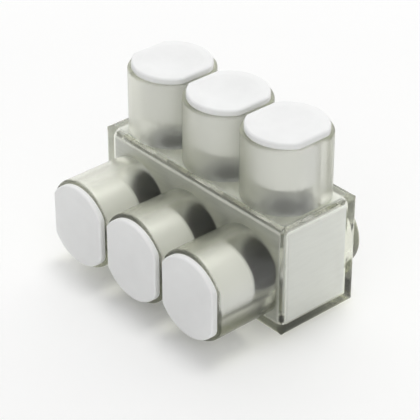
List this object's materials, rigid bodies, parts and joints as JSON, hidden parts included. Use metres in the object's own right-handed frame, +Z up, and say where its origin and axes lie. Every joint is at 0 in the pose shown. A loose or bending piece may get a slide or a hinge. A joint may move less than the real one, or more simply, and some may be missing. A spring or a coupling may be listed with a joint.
{
  "type": "insulated multi-tap cable connector",
  "caption": "Clear moulded power connector: aluminium block with wire-entry collars in front and screw-access collars on top, each closed by a white push-in plug.",
  "frame": {"origin": "middle of the jacket's flat underside, below the middle clamping screw", "axes": "+Z up along the clamping screws, +X along the row of ports to the right as seen from the wire side, wires enter along +Y"},
  "size_m": [0.0764, 0.0558, 0.0578],
  "materials": {
    "block": "brushed, tin plated",
    "jacket": "clear moulded vinyl with a slight olive tint",
    "screw": "turned",
    "plug": "natural polyethylene, satin"
  },
  "bodies": {
    "connector": {"connector_block": "block", "insulating_jacket": "jacket"},
    "set_screw_1": {"set_screw_1": "screw"},
    "set_screw_2": {"set_screw_2": "screw"},
    "set_screw_3": {"set_screw_3": "screw"},
    "wire_port_plug_1": {"wire_port_plug_1": "plug"},
    "wire_port_plug_2": {"wire_port_plug_2": "plug"},
    "wire_port_plug_3": {"wire_port_plug_3": "plug"},
    "screw_access_cap_1": {"screw_access_cap_1": "plug"},
    "screw_access_cap_2": {"screw_access_cap_2": "plug"},
    "screw_access_cap_3": {"screw_access_cap_3": "plug"}
  },
  "joints": [
    {"name": "set_screw_1_drive", "type": "slide", "parent": "connector", "child": "set_screw_1", "axis": [0, 0, 1], "range_m": [-0.00988, 0]},
    {"name": "set_screw_2_drive", "type": "slide", "parent": "connector", "child": "set_screw_2", "axis": [0, 0, 1], "range_m": [-0.00988, 0]},
    {"name": "set_screw_3_drive", "type": "slide", "parent": "connector", "child": "set_screw_3", "axis": [0, 0, 1], "range_m": [-0.00988, 0]},
    {"name": "wire_port_plug_1_pull", "type": "slide", "parent": "connector", "child": "wire_port_plug_1", "axis": [0, -1, 0], "range_m": [0, 0.036]},
    {"name": "wire_port_plug_2_pull", "type": "slide", "parent": "connector", "child": "wire_port_plug_2", "axis": [0, -1, 0], "range_m": [0, 0.036]},
    {"name": "wire_port_plug_3_pull", "type": "slide", "parent": "connector", "child": "wire_port_plug_3", "axis": [0, -1, 0], "range_m": [0, 0.036]},
    {"name": "screw_access_cap_1_lift", "type": "slide", "parent": "connector", "child": "screw_access_cap_1", "axis": [0, 0, 1], "range_m": [0, 0.036]},
    {"name": "screw_access_cap_2_lift", "type": "slide", "parent": "connector", "child": "screw_access_cap_2", "axis": [0, 0, 1], "range_m": [0, 0.036]},
    {"name": "screw_access_cap_3_lift", "type": "slide", "parent": "connector", "child": "screw_access_cap_3", "axis": [0, 0, 1], "range_m": [0, 0.036]}
  ]
}
